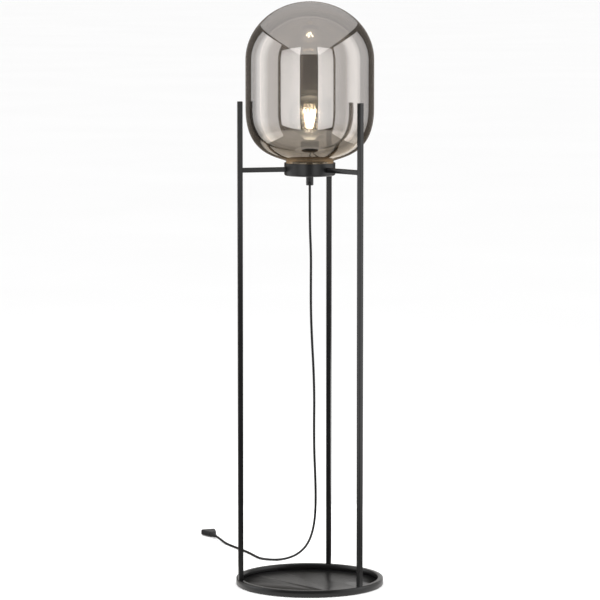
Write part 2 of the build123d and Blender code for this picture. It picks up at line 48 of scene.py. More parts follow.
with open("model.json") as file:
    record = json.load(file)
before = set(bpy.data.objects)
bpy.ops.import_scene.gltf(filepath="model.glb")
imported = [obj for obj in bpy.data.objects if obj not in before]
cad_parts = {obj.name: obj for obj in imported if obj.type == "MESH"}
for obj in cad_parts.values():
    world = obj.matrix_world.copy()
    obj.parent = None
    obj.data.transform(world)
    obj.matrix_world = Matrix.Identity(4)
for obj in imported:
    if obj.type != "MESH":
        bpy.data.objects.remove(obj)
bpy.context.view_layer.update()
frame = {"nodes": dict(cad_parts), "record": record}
SLOT_OF = {row["node"]: row["material_slot"] for row in frame["record"]["subparts"]}
FINISHES = {}
STAND, GLOBE, BULB = "stand", "globe", "bulb"
MM = 0.001
SPIN_STEPS = 128
SHARP_ANGLE = math.radians(32)
MERGE_DISTANCE = 0.002 * MM


# ------------------------------------------------------------------ settings
class LAMP_PG_glass(bpy.types.PropertyGroup):
    """Sizes and colours of the smoked globe."""

    wall: FloatProperty(
        name="Wall", description="Thickness of the glass", default=2.6 * MM, unit="LENGTH"
    )
    neck_radius: FloatProperty(
        name="Neck radius", description="Outside of the neck", default=50.6 * MM, unit="LENGTH"
    )
    neck_height: FloatProperty(
        name="Neck height", description="From rim to bowl", default=28 * MM, unit="LENGTH"
    )
    dome_height: FloatProperty(
        name="Dome height", description="Rise of the dome", default=123.8 * MM, unit="LENGTH"
    )
    belly_height: FloatProperty(
        name="Belly height", description="Straight side", default=103 * MM, unit="LENGTH"
    )
    mirror: FloatProperty(
        name="Mirror", description="Share of light each face sends back", default=0.31,
        subtype="FACTOR", min=0, max=1,
    )
    low_mirror: FloatProperty(
        name="Low mirror", description="The same share near the neck", default=0.12,
        subtype="FACTOR", min=0, max=1,
    )
    tint: FloatVectorProperty(
        name="Tint", description="Light that each face lets through", subtype="COLOR",
        default=(0.74, 0.715, 0.69),
    )
    low_tint: FloatVectorProperty(
        name="Low tint", description="The same near the neck", subtype="COLOR",
        default=(0.70, 0.67, 0.625),
    )


class LAMP_PG_bulb(bpy.types.PropertyGroup):
    """Sizes and glow of the bulb."""

    radius: FloatProperty(
        name="Radius", description="Outside of the bulb", default=45 * MM, unit="LENGTH"
    )
    wall: FloatProperty(
        name="Wall", description="Thickness of its glass", default=0.8 * MM, unit="LENGTH"
    )
    glow: FloatProperty(
        name="Glow", description="Brightness of the filaments", default=55.0, min=0
    )
    glow_colour: FloatVectorProperty(
        name="Glow colour", description="Colour of the lit filaments", subtype="COLOR",
        default=(1.0, 0.88, 0.68),
    )
    haze: FloatProperty(
        name="Haze", description="Share of light that each glass face spreads", default=0.13,
        subtype="FACTOR", min=0, max=1,
    )
    # painted light: strength and colour of a glow painted onto the bulb glass at its neck and
    # crown
    painted_end_light: FloatProperty(
        name="End light", description="Glow of the glass at its neck and crown", default=0.5,
        min=0,
    )
    painted_end_colour: FloatVectorProperty(
        name="End colour", description="Colour of that glow", subtype="COLOR",
        default=(1.0, 0.94, 0.78),
    )


class LAMP_PG_metal(bpy.types.PropertyGroup):
    """Coating of the frame, cup and base."""

    colour: FloatVectorProperty(
        name="Colour", description="Coating of the metal", subtype="COLOR",
        default=(0.0055, 0.0055, 0.0056),
    )
    roughness: FloatProperty(
        name="Roughness", description="Satin of the coating", default=0.32,
        subtype="FACTOR", min=0, max=1,
    )


class LAMP_PG_cord(bpy.types.PropertyGroup):
    """Cord and plug."""

    diameter: FloatProperty(
        name="Diameter", description="Outside of the cord", default=5.2 * MM, unit="LENGTH"
    )
    colour: FloatVectorProperty(
        name="Colour", description="Cover of the cord", subtype="COLOR",
        default=(0.005, 0.005, 0.0052),
    )


class LAMP_PG_studio(bpy.types.PropertyGroup):
    """Floor, light and camera."""

    floor_colour: FloatVectorProperty(
        name="Floor", description="Colour of the floor", subtype="COLOR",
        default=(0.93, 0.93, 0.93),
    )
    sky: FloatProperty(name="Sky", description="Strength of the even light", default=1.1)
    side_light: FloatProperty(
        name="Side light", description="Brightness of the side panels", default=1.8
    )
    front_light: FloatProperty(
        name="Front light", description="Brightness of the front panels", default=1.6
    )
    top_light: FloatProperty(
        name="Top light", description="Brightness of the panel overhead", default=0.58
    )
    back_light: FloatProperty(
        name="Back light", description="Brightness of the low panel behind", default=1.5
    )


SETTINGS = {
    "lamp_glass": LAMP_PG_glass,
    "lamp_bulb": LAMP_PG_bulb,
    "lamp_metal": LAMP_PG_metal,
    "lamp_cord": LAMP_PG_cord,
    "lamp_studio": LAMP_PG_studio,
}


# ------------------------------------------------------------------ materials
class Nodes:
    """The nodes of a material, a light or the world in the making."""

    def __init__(self, tree):
        self.tree = tree

    def node(self, kind, **values):
        """Adds a node; each value sets the property of its name, or else the socket."""
        made = self.tree.nodes.new(kind)
        for key, value in values.items():
            if hasattr(made, key):
                setattr(made, key, value)
            else:
                made.inputs[key.replace("_", " ")].default_value = value
        return made

    def link(self, source, target):
        """Joins an output socket to an input socket."""
        self.tree.links.new(source, target)

    def mapped(self, source, start=0.0, end=1.0, low=0.0, high=1.0):
        """A value stretched from the span between start and end to that of low and high."""
        made = self.node(
            "ShaderNodeMapRange", From_Min=start, From_Max=end, To_Min=low, To_Max=high
        )
        self.link(source, made.inputs["Value"])
        return made.outputs["Result"]

    def ramp(self, source, stops, interpolation="LINEAR"):
        """A colour ramp over a value, from (position, colour) stops."""
        made = self.node("ShaderNodeValToRGB")
        band = made.color_ramp
        band.interpolation = interpolation
        while len(band.elements) < len(stops):
            band.elements.new(0.5)
        for element, (position, colour) in zip(band.elements, stops):
            element.position = position
            element.color = (*colour, 1)
        self.link(source, made.inputs["Fac"])
        return made.outputs["Color"]

    def mix(self, first, second, **values):
        """A shader between two others, by its Fac."""
        made = self.node("ShaderNodeMixShader", **values)
        self.link(first, made.inputs[1])
        self.link(second, made.inputs[2])
        return made


class Finish(Nodes):
    """A node material in the making: one shader and the patterns that feed it."""

    def __init__(self, name):
        self.material = bpy.data.materials.new(f"{name}_finish")
        self.material.use_nodes = True
        super().__init__(self.material.node_tree)
        self.shader = self.tree.nodes["Principled BSDF"]
        self.output = self.tree.nodes["Material Output"]

    def set(self, **values):
        """Sets sockets of the shader by their names."""
        for key, value in values.items():
            self.shader.inputs[key.replace("_", " ")].default_value = value

    def place(self):
        """The piece's own coordinates, which are the lamp's frame in metres."""
        return self.node("ShaderNodeTexCoord").outputs["Object"]

    def height(self):
        """The height above the floor, in metres."""
        split = self.node("ShaderNodeSeparateXYZ")
        self.link(self.place(), split.inputs["Vector"])
        return split.outputs["Z"]

    def noise(self, scale, detail, stretch=(1, 1, 1)):
        """A noise pattern, with its scale in waves per metre."""
        spread = self.node("ShaderNodeMapping")
        spread.inputs["Scale"].default_value = stretch
        self.link(self.place(), spread.inputs["Vector"])
        made = self.node("ShaderNodeTexNoise", Scale=scale, Detail=detail)
        self.link(spread.outputs["Vector"], made.inputs["Vector"])
        return made.outputs["Fac"]

    def tones(self, source, *stops):
        """Colours the shader by a pattern, from (position, colour) stops."""
        self.link(self.ramp(source, stops), self.shader.inputs["Base Color"])

    def vary(self, socket, source, low, high):
        """Drives a plain socket between two values by a pattern."""
        self.link(self.mapped(source, low=low, high=high), self.shader.inputs[socket])

    def bump(self, source, depth, strength):
        """Raises the surface by a pattern, to a depth in metres."""
        made = self.node("ShaderNodeBump", Strength=strength, Distance=depth)
        self.link(source, made.inputs["Height"])
        self.link(made.outputs["Normal"], self.shader.inputs["Normal"])

    def mirror_edge(self, clear, blend, edge_on, face_on=None):
        """Mixes the mirroring shader over a clear one, more of it where it is seen edge-on.

        The socket face_on gives its share where it is seen face-on, which is none without it.
        """
        rim = self.node("ShaderNodeLayerWeight", Blend=blend)
        share = self.mapped(rim.outputs["Fresnel"], high=edge_on)
        if face_on is not None:
            self.link(face_on, share.node.inputs["To Min"])
        both = self.mix(clear, self.shader.outputs["BSDF"])
        self.link(share, both.inputs["Fac"])
        self.link(both.outputs["Shader"], self.output.inputs["Surface"])


def shade(colour, factor):
    """A colour made lighter or darker."""
    return tuple(min(1.0, part * factor) for part in colour)


def grey_stops(stops):
    """Ramp stops of grey, from (position, share) pairs."""
    return [(position, (share, share, share)) for position, share in stops]


def coated_metal():
    """Satin black powder coat with the fine grain and slight clouding of the real one."""
    style = bpy.context.scene.lamp_metal
    finish = Finish("black_metal")
    clouds = finish.noise(scale=14, detail=3)
    finish.tones(clouds, (0.3, shade(style.colour, 0.85)), (0.7, shade(style.colour, 1.2)))
    gloss_spread = 0.05
    patches = finish.noise(scale=60, detail=5)
    finish.vary(
        "Roughness", patches, style.roughness - gloss_spread, style.roughness + gloss_spread
    )
    finish.set(IOR=1.52)
    finish.bump(finish.noise(scale=1900, detail=2), depth=0.05 * MM, strength=0.35)
    return finish.material


def plain_metal(name, colour, roughness, grain=(1, 1, 1)):
    """Bare metal with fine lines left by its making."""
    finish = Finish(name)
    lines = finish.noise(scale=900, detail=3, stretch=grain)
    finish.tones(lines, (0.25, shade(colour, 0.82)), (0.75, colour))
    finish.vary("Roughness", lines, roughness * 0.8, roughness * 1.3)
    finish.set(Metallic=1.0)
    finish.bump(lines, depth=0.02 * MM, strength=0.3)
    return finish.material


def moulded(name, colour, roughness):
    """Moulded plastic or rubber with a fine spark-eroded grain."""
    finish = Finish(name)
    grain = 1300
    clouds = finish.noise(scale=40, detail=3)
    finish.tones(clouds, (0.3, shade(colour, 0.85)), (0.7, shade(colour, 1.15)))
    gloss_spread = 0.08
    patches = finish.noise(scale=grain / 4, detail=3)
    finish.vary("Roughness", patches, roughness - gloss_spread, roughness + gloss_spread)
    finish.bump(finish.noise(scale=grain, detail=2), depth=0.04 * MM, strength=0.5)
    return finish.material


def felt():
    """Pressed felt: short crossed fibres and a soft sheen."""
    finish = Finish("felt")
    fibres = finish.noise(scale=2600, detail=6, stretch=(1, 0.35, 1))
    finish.tones(fibres, (0.3, (0.010, 0.010, 0.011)), (0.75, (0.045, 0.044, 0.043)))
    finish.set(Roughness=0.95, Sheen_Weight=0.5)
    finish.bump(fibres, depth=0.3 * MM, strength=0.8)
    return finish.material


def smoked_glass():
    """Half-mirrored smoked glass: each face passes tinted light and mirrors the rest, with a
    painted warm glow on the glass just above the neck.
    """
    style = bpy.context.scene.lamp_glass
    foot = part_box("globe_glass")[0].z
    shoulder = foot + style.neck_height
    bowl_middle = foot + 4.2 * style.neck_height
    low_coat, coat = (0.74, 0.66, 0.55), (0.98, 0.96, 0.95)
    # painted light: the glass near the neck emits a warm glow, full up to painted_neck_full and
    # gone by painted_neck_fade_end
    glow_colour, painted_neck_glow = (1.0, 0.79, 0.56), 0.14
    painted_neck_full = foot + 0.75 * style.neck_height
    painted_neck_fade_end = foot + 1.35 * style.neck_height
    finish = Finish("smoked_glass")
    height = finish.height()
    level = finish.mapped(height, shoulder, bowl_middle)
    through = finish.node("ShaderNodeBsdfTransparent")
    tint = finish.ramp(level, [(0, style.low_tint), (1, style.tint)])
    finish.link(tint, through.inputs["Color"])
    finish.tones(level, (0, low_coat), (1, coat))
    finish.set(Metallic=1.0, Roughness=0.015, Emission_Color=(*glow_colour, 1))
    # painted glow: emission strength from the glass's height, strongest at the neck
    glow = finish.mapped(height, painted_neck_full, painted_neck_fade_end, low=painted_neck_glow, high=0.0)
    finish.link(glow, finish.shader.inputs["Emission Strength"])
    face_on = finish.mapped(level, low=style.low_mirror, high=style.mirror)
    finish.mirror_edge(through.outputs["BSDF"], blend=0.22, edge_on=0.85, face_on=face_on)
    return finish.material


def clear_glass():
    """Thin clear bulb glass: a faint haze that spreads the light, a painted glow at its neck
    and crown, and mirroring edges.
    """
    style = bpy.context.scene.lamp_bulb
    low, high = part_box("bulb_glass")
    finish = Finish("clear_glass")
    through = finish.node("ShaderNodeBsdfTransparent", Color=(0.97, 0.97, 0.96, 1))
    spread = finish.node("ShaderNodeBsdfRefraction", Roughness=0.65, IOR=1.45)
    hazed = finish.mix(through.outputs["BSDF"], spread.outputs["BSDF"], Fac=style.haze)
    level = finish.mapped(finish.height(), low.z, high.z)
    # painted light: the glass emits a warm glow by height, strongest at the neck and weaker at
    # the crown
    ends = ((0.0, 1.0), (0.06, 0.8), (0.13, 0.15), (0.22, 0.0), (0.86, 0.0), (0.97, 0.6))
    painted_end_mask = finish.ramp(level, grey_stops(ends))
    strength = finish.node("ShaderNodeMath", operation="MULTIPLY")
    strength.inputs[1].default_value = style.painted_end_light
    finish.link(painted_end_mask, strength.inputs[0])
    painted_end_shine = finish.node("ShaderNodeEmission", Color=(*style.painted_end_colour, 1))
    finish.link(strength.outputs["Value"], painted_end_shine.inputs["Strength"])
    lit = finish.node("ShaderNodeAddShader")
    finish.link(hazed.outputs["Shader"], lit.inputs[0])
    finish.link(painted_end_shine.outputs["Emission"], lit.inputs[1])
    finish.set(Base_Color=(0.95, 0.95, 0.95, 1), Metallic=1.0, Roughness=0.01)
    finish.mirror_edge(lit.outputs["Shader"], blend=0.18, edge_on=0.25)
    return finish.material


def lit_filament():
    """Warm coating of a filament, glowing along its whole length."""
    style = bpy.context.scene.lamp_bulb
    finish = Finish("filament")
    grains = finish.noise(scale=3000, detail=2)
    finish.tones(grains, (0.3, (0.85, 0.60, 0.22)), (0.7, (0.98, 0.78, 0.38)))
    finish.set(Roughness=0.6, Emission_Color=(*style.glow_colour, 1))
    finish.set(Emission_Strength=style.glow)
    return finish.material


def cord_cover():
    """Extruded black cord cover: a soft gloss and faint long draw lines."""
    style = bpy.context.scene.lamp_cord
    finish = Finish("cord_cover")
    clouds = finish.noise(scale=120, detail=3)
    finish.tones(clouds, (0.3, shade(style.colour, 0.8)), (0.7, shade(style.colour, 1.4)))
    finish.vary("Roughness", finish.noise(scale=500, detail=3), 0.38, 0.55)
    finish.bump(finish.noise(scale=1500, detail=2), depth=0.03 * MM, strength=0.4)
    return finish.material


def all_finishes():
    """The lamp's materials by their slot, made once."""
    if FINISHES:
        return FINISHES
    made = {
        "black_metal": coated_metal(),
        "felt": felt(),
        "screw_steel": plain_metal("screw_steel", (0.10, 0.10, 0.105), 0.38),
        "zinc_steel": plain_metal("zinc_steel", (0.62, 0.63, 0.65), 0.33, (1, 1, 0.2)),
        "silicone": moulded("silicone", (0.10, 0.10, 0.10), 0.6),
        "smoked_glass": smoked_glass(),
        "clear_glass": clear_glass(),
        "holder_plastic": moulded("holder_plastic", (0.030, 0.027, 0.025), 0.36),
        "core_plastic": moulded("core_plastic", (0.70, 0.67, 0.58), 0.5),
        "brass": plain_metal("brass", (0.78, 0.58, 0.28), 0.3),
        "cap_metal": plain_metal("cap_metal", (0.80, 0.78, 0.76), 0.24, (1, 1, 0.15)),
        "bulb_insulator": moulded("bulb_insulator", (0.012, 0.012, 0.016), 0.14),
        "tip_metal": plain_metal("tip_metal", (0.68, 0.67, 0.66), 0.42),
        "filament": lit_filament(),
        "lead_wire": plain_metal("lead_wire", (0.66, 0.66, 0.66), 0.3),
        "cord_cover": cord_cover(),
        "conductor": moulded("conductor", (0.22, 0.09, 0.03), 0.45),
        "plug_plastic": moulded("plug_plastic", (0.014, 0.014, 0.015), 0.45),
        "pin_metal": plain_metal("pin_metal", (0.82, 0.81, 0.80), 0.18, (1, 1, 0.3)),
    }
    FINISHES.update(made)
    return FINISHES


# ------------------------------------------------------------------ modelling helpers
def arc(centre, radius, start, end, steps=8):
    """Points of an arc in a section, centre as (radius, height), angles in degrees."""
    turns = [math.radians(start + (end - start) * i / steps) for i in range(steps + 1)]
    return [(centre[0] + radius * math.cos(t), centre[1] + radius * math.sin(t)) for t in turns]


def swing(start, pull, push, end, steps):
    """Points of a smooth curve between two ends, drawn by its two handles."""
    made = []
    for i in range(steps + 1):
        t = i / steps
        weights = ((1 - t) ** 3, 3 * (1 - t) ** 2 * t, 3 * (1 - t) * t**2, t**3)
        points = (start, pull, push, end)
        made.append(tuple(sum(w * p[k] for w, p in zip(weights, points)) for k in (0, 1)))
    return made


def lathe(outline, steps=SPIN_STEPS, closed=True):
    """A mesh turned about the lamp's axis from a section of (radius, height) points."""
    bm = bmesh.new()
    verts = [bm.verts.new((radius, 0, height)) for radius, height in outline]
    edges = [bm.edges.new(pair) for pair in zip(verts, verts[1:])]
    if closed:
        edges.append(bm.edges.new((verts[-1], verts[0])))
    bmesh.ops.spin(
        bm, geom=verts + edges, cent=(0, 0, 0), axis=(0, 0, 1), angle=math.tau, steps=steps,
        use_merge=True,
    )
    bmesh.ops.remove_doubles(bm, verts=bm.verts, dist=MERGE_DISTANCE)
    bmesh.ops.recalc_face_normals(bm, faces=bm.faces)
    return bm


def piece(name, bm, slot, body, *nodes):
    """Makes a smooth-shaded piece that rides on a body and stands for these nodes."""
    mesh = bpy.data.meshes.new(name)
    bm.to_mesh(mesh)
    bm.free()
    mesh.materials.append(all_finishes()[slot])
    mesh.shade_smooth()
    mesh.set_sharp_from_angle(angle=SHARP_ANGLE)
    made = bpy.data.objects.new(name, mesh)
    bpy.context.scene.collection.objects.link(made)
    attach(made, body)
    if nodes:
        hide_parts(*nodes)
    return made


def smooth_copy(node, body):
    """A piece with a node's own shape, its vertices merged so that it shades smoothly."""
    bm = bmesh.new()
    bm.from_mesh(frame["nodes"][node].data)
    bmesh.ops.remove_doubles(bm, verts=bm.verts, dist=MERGE_DISTANCE)
    return piece(f"{node}_finished", bm, SLOT_OF[node], body, node)


def nodes_named(*starts):
    """The nodes whose names start so."""
    return sorted(node for node in SLOT_OF if node.startswith(starts))


# ------------------------------------------------------------------ pieces
class LAMP_OT_frame(bpy.types.Operator):
    """Finish the legs, arms, cup and their fasteners"""

    bl_idname = "lamp.build_frame"
    bl_label = "Frame and cup"

    def execute(self, context):
        for node in nodes_named("leg_", "arm_", "stem_"):
            smooth_copy(node, STAND)
        for node in ("cup", "seat_ring", "threaded_stem", "cord_grip", "cord_grip_screw"):
            smooth_copy(node, STAND)
        return {"FINISHED"}


class LAMP_OT_base(bpy.types.Operator):
    """Finish the round tray base and its felt"""

    bl_idname = "lamp.build_base"
    bl_label = "Base"

    def execute(self, context):
        for node in nodes_named("base_"):
            smooth_copy(node, STAND)
        return {"FINISHED"}


def globe_section(style, inset):
    """The globe's section from its rim to its top, drawn this far inside its outer face."""
    low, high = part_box("globe_glass")
    radius = high.x - inset
    neck = style.neck_radius - inset
    shoulder = low.z + style.neck_height
    belly_high = high.z - style.dome_height
    belly_low = belly_high - style.belly_height
    throat_round = 3 * MM
    bowl_slope = 18.6
    bowl_reach = 31.3 * MM
    bowl_drop = 89 * MM
    round_handle = 0.5523
    slope = math.radians(bowl_slope)
    centre = (style.neck_radius + throat_round, shoulder - throat_round)
    throat = arc(centre, throat_round + inset, 180, 90 + bowl_slope)
    start = throat[-1]
    bowl = swing(
        start,
        (start[0] + bowl_reach * math.cos(slope), start[1] + bowl_reach * math.sin(slope)),
        (radius, belly_low - bowl_drop),
        (radius, belly_low),
        steps=36,
    )
    dome_height = style.dome_height - inset
    dome = swing(
        (radius, belly_high),
        (radius, belly_high + round_handle * dome_height),
        (round_handle * radius, belly_high + dome_height),
        (0, belly_high + dome_height),
        steps=48,
    )
    lip = (neck, low.z + style.wall / 2)
    return [lip, *throat, *bowl[1:], *dome]


class LAMP_OT_globe(bpy.types.Operator):
    """Blow the smoked glass globe"""

    bl_idname = "lamp.build_globe"
    bl_label = "Smoked globe"

    def execute(self, context):
        style = context.scene.lamp_glass
        half_wall = style.wall / 2
        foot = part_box("globe_glass")[0].z
        outside = globe_section(style, 0)
        inside = globe_section(style, style.wall)
        middle = (style.neck_radius - half_wall, foot + half_wall)
        rim = arc(middle, half_wall, 180, 360)
        outline = [*reversed(inside), *rim[1:-1], *outside]
        piece("globe_shade", lathe(outline, closed=False), "smoked_glass", GLOBE, "globe_glass")
        return {"FINISHED"}


class LAMP_OT_holder(bpy.types.Operator):
    """Finish the lampholder's housing, insides and wires"""

    bl_idname = "lamp.build_holder"
    bl_label = "Lampholder"

    def execute(self, context):
        for node in ("holder_cap", "holder_body", "holder_core", "holder_screw_shell"):
            smooth_copy(node, STAND)
        for node in ("holder_contact", "holder_terminals", "cord_inner", "conductors"):
            smooth_copy(node, STAND)
        return {"FINISHED"}


class LAMP_OT_bulb(bpy.types.Operator):
    """Model the filament bulb"""

    bl_idname = "lamp.build_bulb"
    bl_label = "Bulb"

    neck_angle = 42
    neck_gap = 0.45 * MM
    neck_lift = 0.4 * MM
    neck_pull = 10 * MM
    thread_depth = 0.8 * MM
    thread_pitch = 3.6 * MM
    thread_turns = 5
    thread_steps = 12
    cap_sheet = 0.3 * MM
    cap_lip = 1 * MM
    filament_count = 4
    first_filament_angle = 20
    filament_radius = 1.1 * MM
    filament_start = 27 * MM
    filament_length = 40 * MM
    filament_low = 5 * MM
    filament_high = 12.5 * MM
    clip_wall = 0.25 * MM
    clip_length = 1.9 * MM
    clip_reach = 0.6 * MM
    wire_radius = 0.35 * MM
    crown_lift = 0.6 * MM
    post_rise = 3 * MM
    ridge_drop = 1 * MM

    def glass(self, style):
        """The clear sphere and its neck, as a thin wall."""
        low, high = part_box("bulb_glass")
        cap_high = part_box("bulb_cap")[1]
        turn = math.radians(self.neck_angle)
        pull = self.neck_pull
        middle = high.z - style.radius
        neck = cap_high.x - self.neck_gap

        def side(inset):
            size = style.radius - inset
            join = (size * math.sin(turn), middle - size * math.cos(turn))
            curve = swing(
                (neck - inset, cap_high.z + self.neck_lift),
                (neck - inset, cap_high.z + pull / 2),
                (join[0] - pull * math.cos(turn), join[1] - pull * math.sin(turn)),
                join,
                steps=14,
            )
            ball = arc((0, middle), size, self.neck_angle - 90, 90, steps=40)
            return [(neck - inset, low.z), *curve, *ball[1:]]

        outline = [*reversed(side(style.wall)), *side(0)]
        bm = lathe(outline, steps=96, closed=False)
        piece("bulb_bowl", bm, "clear_glass", BULB, "bulb_glass")

    def cap(self):
        """The screw cap, with its rolled thread."""
        low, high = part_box("bulb_cap")
        root = high.x - self.thread_depth
        edge_round = 0.2 * MM
        shoulder_round = 0.1 * MM
        shoulder_rise = 0.5 * MM
        collar_rise = 0.8 * MM
        waves = [(root, low.z)]
        for turn in range(self.thread_turns):
            foot = low.z + self.cap_lip + turn * self.thread_pitch
            for step in range(self.thread_steps):
                share = step / self.thread_steps
                rise = self.thread_depth * math.sin(math.pi * share)
                waves.append((root + rise, foot + share * self.thread_pitch))
        thread_top = low.z + self.cap_lip + self.thread_turns * self.thread_pitch
        shoulder = thread_top + shoulder_rise
        collar = [
            (root, thread_top),
            (high.x - shoulder_round, shoulder),
            (high.x, thread_top + collar_rise),
            (high.x, high.z - edge_round),
            (high.x - edge_round, high.z),
            (high.x - self.cap_sheet, high.z),
        ]
        inner = root - self.cap_sheet
        inside = [(high.x - self.cap_sheet, shoulder), (inner, thread_top), (inner, low.z)]
        outline = [*waves, *collar, *inside]
        piece("bulb_screw_cap", lathe(outline, steps=72), "cap_metal", BULB, "bulb_cap")

    def stem(self):
        """The pressed glass stem that carries the filaments."""
        low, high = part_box("bulb_stem")
        flange_top = low.z + 0.8 * MM
        flare = 7.5 * MM
        waist = 2.6 * MM
        height = high.z - low.z
        side = swing(
            (flare, flange_top),
            (waist, low.z + 0.2 * height),
            (waist, low.z + 0.35 * height),
            (waist, low.z + 0.6 * height),
            steps=12,
        )
        head = arc((0, high.z - waist), waist, 0, 90, steps=6)
        outline = [(0, low.z), (high.x, low.z), (high.x, flange_top), *side, *head]
        bm = lathe(outline, steps=48, closed=False)
        piece("bulb_glass_stem", bm, "clear_glass", BULB, "bulb_stem")

    def rod(self, radius, length):
        """A round-ended rod along +Z from the origin."""
        foot = arc((0, radius), radius, -60, 0, steps=4)
        head = arc((0, length - radius), radius, 0, 60, steps=4)
        return lathe([(0, 0), *foot, *head, (0, length)], steps=16, closed=False)

    def stand_rods(self, bm, low, high):
        """Stands a rod between two points, and repeats it round the axis."""
        along = (high - low).normalized()
        turn = along.to_track_quat("Z", "Y").to_matrix().to_4x4()
        bmesh.ops.transform(bm, matrix=Matrix.Translation(low) @ turn, verts=bm.verts)
        first = bm.verts[:] + bm.edges[:] + bm.faces[:]
        step = math.tau / self.filament_count
        for index in range(1, self.filament_count):
            copy = bmesh.ops.duplicate(bm, geom=first)
            verts = [part for part in copy["geom"] if isinstance(part, bmesh.types.BMVert)]
            spin = Matrix.Rotation(index * step, 4, "Z")
            bmesh.ops.transform(bm, matrix=spin, verts=verts)
        return bm

    def filaments(self):
        """Four glowing rods that lean outwards, with their metal end clips and wires."""
        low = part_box("bulb_glass")[0]
        stem_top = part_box("bulb_stem")[1].z
        turn = math.radians(self.first_filament_angle)
        side = Vector((math.cos(turn), math.sin(turn), 0))
        lean = (self.filament_high - self.filament_low) / self.filament_length
        rise = self.filament_length * math.sqrt(1 - lean**2)
        foot = side * self.filament_low + Vector((0, 0, low.z + self.filament_start))
        head = side * self.filament_high + Vector((0, 0, foot.z + rise))
        grip = (head - foot).normalized() * self.clip_reach
        bm = self.stand_rods(self.rod(self.filament_radius, self.filament_length), foot, head)
        piece("bulb_filament_rods", bm, "filament", BULB, "bulb_filaments")
        clip_radius = self.filament_radius + self.clip_wall
        crown = Vector((0, 0, stem_top + self.crown_lift))
        post_top = head.z + self.post_rise
        ridge = Vector((0, 0, post_top - self.ridge_drop))
        parts = []
        for start, end in ((foot - 2 * grip, foot), (head - grip, head + grip)):
            parts.append(self.stand_rods(self.rod(clip_radius, self.clip_length), start, end))
        for start, end in ((crown, foot - grip), (ridge, head + grip)):
            wire = self.rod(self.wire_radius, (end - start).length)
            parts.append(self.stand_rods(wire, start, end))
        post = self.rod(self.wire_radius, post_top - stem_top)
        bmesh.ops.translate(post, vec=(0, 0, stem_top), verts=post.verts)
        joined = bmesh.new()
        for part in (*parts, post):
            held = bpy.data.meshes.new("wire")
            part.to_mesh(held)
            part.free()
            joined.from_mesh(held)
            bpy.data.meshes.remove(held)
        piece("bulb_wires", joined, "lead_wire", BULB, "bulb_lead_wires")

    def execute(self, context):
        style = context.scene.lamp_bulb
        self.glass(style)
        self.cap()
        self.stem()
        self.filaments()
        for node in ("bulb_insulator", "bulb_tip"):
            smooth_copy(node, BULB)
        return {"FINISHED"}


CORD_EXIT = (0.0, 0.0, 0.860)
CORD_ROUTE = (
    CORD_EXIT,
    (0.0000, 0.0000, 0.8200),
    (0.0005, 0.0100, 0.7640),
    (0.0029, 0.0205, 0.7060),
    (0.0024, 0.0300, 0.6450),
    (0.0026, 0.0390, 0.5830),
    (0.0050, 0.0480, 0.5210),
    (0.0084, 0.0585, 0.4590),
    (0.0102, 0.0700, 0.3970),
    (0.0096, 0.0830, 0.3350),
    (0.0100, 0.0980, 0.2750),
    (0.0124, 0.1155, 0.2180),
    (0.0138, 0.1345, 0.1650),
    (0.0124, 0.1550, 0.1170),
    (0.0064, 0.1780, 0.0780),
    (-0.0046, 0.2030, 0.0470),
    (-0.0220, 0.2290, 0.0235),
    (-0.0440, 0.2480, 0.0090),
    (-0.0680, 0.2585, 0.0026),
    (-0.0920, 0.2620, 0.0026),
    (-0.1105, 0.2760, 0.0026),
    (-0.1210, 0.3030, 0.0026),
    (-0.1370, 0.3470, 0.0026),
    (-0.1605, 0.3960, 0.0026),
    (-0.1810, 0.4370, 0.0026),
    (-0.1950, 0.4685, 0.0034),
    (-0.2060, 0.4985, 0.0069),
    (-0.2160, 0.5285, 0.0069),
)


class LAMP_OT_cord(bpy.types.Operator):
    """Lay the cord and finish its plug"""

    bl_idname = "lamp.build_cord"
    bl_label = "Cord and plug"

    def execute(self, context):
        style = context.scene.lamp_cord
        curve = bpy.data.curves.new("cord_line", "CURVE")
        curve.dimensions = "3D"
        curve.bevel_depth = style.diameter / 2
        curve.bevel_resolution = 6
        curve.use_fill_caps = True
        line = curve.splines.new("NURBS")
        line.points.add(len(CORD_ROUTE) - 1)
        for point, place in zip(line.points, CORD_ROUTE):
            point.co = (*place, 1)
        line.order_u = 3
        line.use_endpoint_u = True
        line.resolution_u = 10
        curve.materials.append(all_finishes()["cord_cover"])
        cord = bpy.data.objects.new("cord_line", curve)
        context.scene.collection.objects.link(cord)
        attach(cord, STAND)
        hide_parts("cord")
        plug = [smooth_copy(node, STAND) for node in ("plug_relief", "plug_body", "plug_pins")]
        return {"FINISHED"}


# ------------------------------------------------------------------ studio
def softbox(name, place, aim, size, brightness, across=(), upwards=()):
    """A rectangular light panel that the camera itself doesn't see.

    Its brightness follows the (position, share) stops across its width and up its height.
    """
    light = bpy.data.lights.new(name, "AREA")
    light.shape = "RECTANGLE"
    light.size, light.size_y = size
    light.energy = brightness * math.pi * size[0] * size[1]
    light.use_nodes = True
    nodes = Nodes(light.node_tree)
    on_panel = nodes.node("ShaderNodeNewGeometry")
    split = nodes.node("ShaderNodeSeparateXYZ")
    nodes.link(on_panel.outputs["Parametric"], split.inputs["Vector"])
    product = nodes.node("ShaderNodeMath", operation="MULTIPLY")
    for index, (axis, stops) in enumerate((("X", across), ("Y", upwards))):
        stops = grey_stops(stops or ((0.0, 1.0), (1.0, 1.0)))
        nodes.link(nodes.ramp(split.outputs[axis], stops, "EASE"), product.inputs[index])
    nodes.link(product.outputs["Value"], nodes.tree.nodes["Emission"].inputs["Strength"])
    panel = bpy.data.objects.new(name, light)
    panel.location = place
    panel.rotation_euler = (Vector(aim) - Vector(place)).to_track_quat("-Z", "Y").to_euler()
    panel.visible_camera = False
    bpy.context.scene.collection.objects.link(panel)


